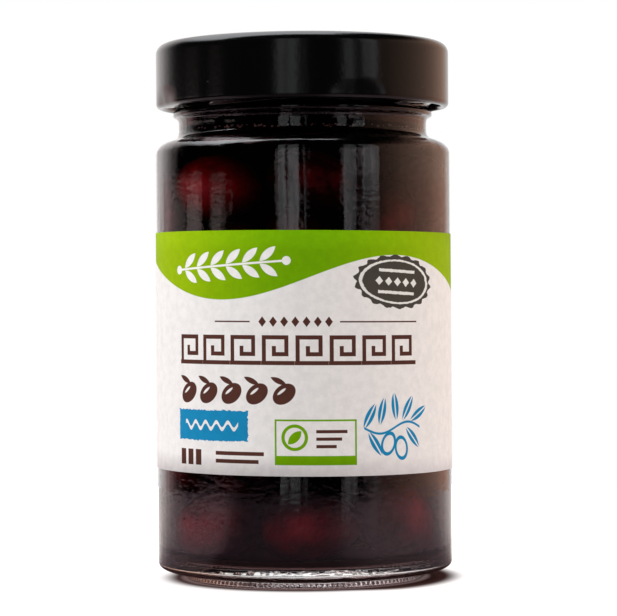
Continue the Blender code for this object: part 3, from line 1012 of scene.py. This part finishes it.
def build_core(filling):
    """The inner mass of olives, which the brine's colour hides: a lumpy dark core."""
    radius, low, high, bend = 0.0180, 0.0085, 0.0875, 0.006
    profile = arc((radius - bend, low + bend), bend, bend, -90.0, 0.0, 5)
    profile += line((radius, low + bend), (radius, high - bend), 24)
    profile += arc((radius - bend, high - bend), bend, bend, 0.0, 90.0, 5)
    shape = spun([(0.0, low)] + profile + [(0.0, high)], 64)
    tone_layer = shape.verts.layers.float.new("tone")
    for corner in shape.verts:
        corner.co += corner.normal * (0.0012 * noise.noise(corner.co * 110.0))
        corner[tone_layer] = 0.15
    skin = olive_material(filling.skin_dark, filling.skin_dark)
    made = piece("inner_olives", shape, skin)
    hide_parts("olives")
    return made


def build_brine(glass, filling):
    """The brine, up to behind the lid; it reaches a little into the glass all round."""
    mouth = glass.neck_radius - glass.neck_wall + filling.reach
    profile = inside_profile(glass, filling.reach, 16)
    profile += [(mouth, filling.level)]
    profile += reversed(dome(mouth - 0.0004, filling.level - 0.0003, -0.0001, 6))
    look = brine_material(filling.brine, filling.brine_depth)
    return piece("brine", spun(profile, 192), look)


def build_bubbles(glass, filling):
    """Tiny bubbles that cling to the glass round the neck."""
    draw, count, smallest, largest = random.Random(5), 210, 0.00010, 0.00032
    shape = bmesh.new()
    ring = glass.neck_radius - glass.neck_wall - 0.0002
    for _ in range(count):
        size = draw.uniform(smallest, largest)
        angle = draw.uniform(0.0, TURN)
        bubble = bmesh.new()
        bmesh.ops.create_icosphere(bubble, subdivisions=2, radius=size)
        away = spot(ring - size, angle, filling.bubbles_z - size * draw.uniform(0.4, 3.5))
        bmesh.ops.translate(bubble, verts=bubble.verts, vec=away)
        join(shape, "bubble", bubble)
    return piece("bubbles", shape, bubble_material())


def build_table(settings):
    """The round white table that the jar stands on."""
    shape = bmesh.new()
    bmesh.ops.create_circle(shape, cap_ends=True, segments=128, radius=settings.table_radius)
    mesh = mesh_of("table", shape)
    mesh.materials.append(table_material(settings.table))
    made = added("table", mesh)


def build_camera():
    """The camera at the photograph's viewing angle."""
    view = bpy.data.cameras.new("camera")
    view.sensor_width = 36.0
    view.lens = CAMERA_FOCUS_PIXELS * view.sensor_width / PHOTO_WIDTH
    view.clip_start = 0.01
    made = added("camera", view)
    turn = (Matrix.Rotation(CAMERA_YAW, 4, "Z")
            @ Matrix.Rotation(math.pi / 2.0 + CAMERA_PITCH, 4, "X")
            @ Matrix.Rotation(CAMERA_ROLL, 4, "Z"))
    made.matrix_world = Matrix.Translation(CAMERA_PLACE) @ turn
    bpy.context.scene.camera = made


def soft_lamp(name, place, size, power, tint):
    """A large soft lamp aimed at the middle of the jar, itself unseen."""
    lamp = bpy.data.lights.new(name, "AREA")
    lamp.shape = "DISK"
    lamp.size = size
    lamp.energy = power
    lamp.color = tint
    made = added(name, lamp)
    made.location = place
    aim = Vector((0.0, 0.0, 0.06)) - Vector(place)
    made.rotation_euler = aim.to_track_quat("-Z", "Y").to_euler()
    made.visible_camera = False
    made.visible_glossy = False
    made.visible_transmission = False


def studio_color(x, y, z):
    """What reflections show: dark in front but for tall windows, pale curtains on the left,
    white behind and above, and warm on the right."""
    around = degrees_round(x, y)
    raised = z.ramp(0.048, 0.070)
    windows = sum(band(around, low, high, 0.5) * (raised * (upper_level - level) + level)
                  for low, high, level, upper_level in WINDOW_PANES)
    height = band(z, -0.35, 0.5, 0.06) * (z.ramp(-0.10, -0.02) * 0.7 + 0.3)
    room = (windows * height).clamped().mix((0.004, 0.0035, 0.0035), (0.97, 1.0, 1.03))
    curtains = sum(band(around, low, high, soft) * level for low, high, soft, level in CURTAINS)
    room = (curtains * (1.0 - raised) * z.ramp(-0.02, 0.01)).mix(room, (1.05, 0.90, 0.86))
    warm = ((around - 52.0) / 78.0).clamped() * (1.0 - z.ramp(0.40, 0.70))
    room = warm.mix(room, raised.mix((0.94, 0.54, 0.40), (1.00, 0.64, 0.48)))
    rosy = (1.0 - raised) * (1.0 - (-around).ramp(128.0, 150.0))
    behind_left = rosy.mix((1.20, 1.14, 1.13), (1.20, 0.76, 0.77))
    room = (-around).ramp(115.0, 147.0).mix(room, behind_left)
    room = around.ramp(140.0, 170.0).mix(room, (1.0, 1.0, 1.0))
    ceiling = y.ramp(-0.22, -0.10) * (1.0 - x.ramp(0.16, 0.32)) * z.ramp(0.50, 0.72)
    panel = ((1.0 - y) / 1.15).clamped().mix((1.0, 1.0, 1.0), (5.0, 5.1, 5.3))
    return ceiling.mix(room, panel)


def fill_color(x, y):
    """The light on matt things: bright from the left, warm and brightest from the right, and
    weaker behind and in front."""
    fill = (-x).most(0.0).mix((0.70, 0.70, 0.70), (1.00, 0.98, 0.96))
    fill = x.most(0.0).mix(fill, (1.28, 1.12, 1.00))
    return (-y).most(0.0).mix(fill, (0.52, 0.515, 0.505))


def build_room():
    """What surrounds the table: white to the eye, and a studio in reflections."""
    world = bpy.data.worlds.new("studio")
    bpy.context.scene.world = world
    world.use_nodes = True
    world.cycles.sampling_method = "NONE"
    tree = world.node_tree
    tree.nodes.clear()
    start = Wire(tree)
    x, y, z = start.node("ShaderNodeTexCoord", output=0).parts()
    to_eye = start.node("ShaderNodeLightPath", output=0)
    to_matt = start.node("ShaderNodeLightPath", output=2)
    shown = to_matt.mix(studio_color(x, y, z), fill_color(x, y))
    shown = to_eye.mix(shown, (1.0, 1.0, 1.0))
    light = start.node("ShaderNodeBackground", None, {"Color": shown, "Strength": 1.0})
    feed(light, tree.nodes.new("ShaderNodeOutputWorld"), "Surface")


class OBJECT_OT_add_jar_stage(bpy.types.Operator):
    """Add the white table, the studio, the lamps and the camera"""

    bl_idname = "object.add_jar_stage"
    bl_label = "Stage"

    def execute(self, context):
        settings = context.scene.jar_stage
        build_camera()
        build_table(settings)
        build_room()
        power = settings.soft_power
        soft_lamp("top light", (-0.25, -0.30, 0.60), 0.5, power, (1.0, 1.0, 1.0))
        soft_lamp("left light", (-0.55, -0.02, 0.16), 0.4, power * 0.34, (1.0, 0.99, 0.98))
        soft_lamp("right light", (0.55, -0.02, 0.16), 0.4, power * 0.30, (1.0, 0.88, 0.78))
        context.scene.view_settings.view_transform = "Standard"
        return {"FINISHED"}


class OBJECT_OT_add_jar_glass(bpy.types.Operator):
    """Add the glass jar with its threads and knurled foot"""

    bl_idname = "object.add_jar_glass"
    bl_label = "Glass jar"

    def execute(self, context):
        build_glass(context.scene.jar_glass)
        return {"FINISHED"}


class OBJECT_OT_add_jar_lid(bpy.types.Operator):
    """Add the black twist-off lid"""

    bl_idname = "object.add_jar_lid"
    bl_label = "Lid"

    def execute(self, context):
        build_lid(context.scene.jar_lid)
        return {"FINISHED"}


class OBJECT_OT_add_jar_label(bpy.types.Operator):
    """Add the printed paper label"""

    bl_idname = "object.add_jar_label"
    bl_label = "Label"

    def execute(self, context):
        build_label(context.scene.jar_glass, context.scene.jar_label)
        return {"FINISHED"}


class OBJECT_OT_add_jar_olives(bpy.types.Operator):
    """Add the olives and the mass of olives within"""

    bl_idname = "object.add_jar_olives"
    bl_label = "Olives"

    def execute(self, context):
        build_olives(context.scene.jar_glass, context.scene.jar_filling)
        build_core(context.scene.jar_filling)
        return {"FINISHED"}


class OBJECT_OT_add_jar_brine(bpy.types.Operator):
    """Add the brine round the olives"""

    bl_idname = "object.add_jar_brine"
    bl_label = "Brine"

    def execute(self, context):
        build_brine(context.scene.jar_glass, context.scene.jar_filling)
        build_bubbles(context.scene.jar_glass, context.scene.jar_filling)
        return {"FINISHED"}


class VIEW3D_PT_olive_jar(bpy.types.Panel):
    """Lists the jar's pieces and their settings"""

    bl_label = "Olive Jar"
    bl_idname = "VIEW3D_PT_olive_jar"
    bl_space_type = "VIEW_3D"
    bl_region_type = "UI"
    bl_category = "Olive Jar"

    def draw(self, context):
        for operator in OPERATORS:
            self.layout.operator(operator.bl_idname)
        for name, group in SETTINGS.items():
            settings_box = self.layout.box()
            values = getattr(context.scene, name)
            for setting in group.__annotations__:
                settings_box.prop(values, setting)


SETTINGS = {
    "jar_glass": GlassSettings,
    "jar_lid": LidSettings,
    "jar_label": LabelSettings,
    "jar_filling": FillingSettings,
    "jar_stage": StageSettings,
}
OPERATORS = (
    OBJECT_OT_add_jar_stage,
    OBJECT_OT_add_jar_glass,
    OBJECT_OT_add_jar_lid,
    OBJECT_OT_add_jar_label,
    OBJECT_OT_add_jar_olives,
    OBJECT_OT_add_jar_brine,
)
CLASSES = (*SETTINGS.values(), *OPERATORS, VIEW3D_PT_olive_jar)


def register():
    """Register the classes and put their settings on the scene."""
    for item in CLASSES:
        bpy.utils.register_class(item)
    for name, group in SETTINGS.items():
        setattr(bpy.types.Scene, name, PointerProperty(type=group))


def unregister():
    """Take the settings and the classes away again."""
    for name in SETTINGS:
        delattr(bpy.types.Scene, name)
    for item in reversed(CLASSES):
        bpy.utils.unregister_class(item)


def main():
    """Build the jar and its stage."""
    register()
    bpy.ops.object.add_jar_stage()
    bpy.ops.object.add_jar_glass()
    bpy.ops.object.add_jar_lid()
    bpy.ops.object.add_jar_label()
    bpy.ops.object.add_jar_olives()
    bpy.ops.object.add_jar_brine()


if __name__ == "__main__":
    main()
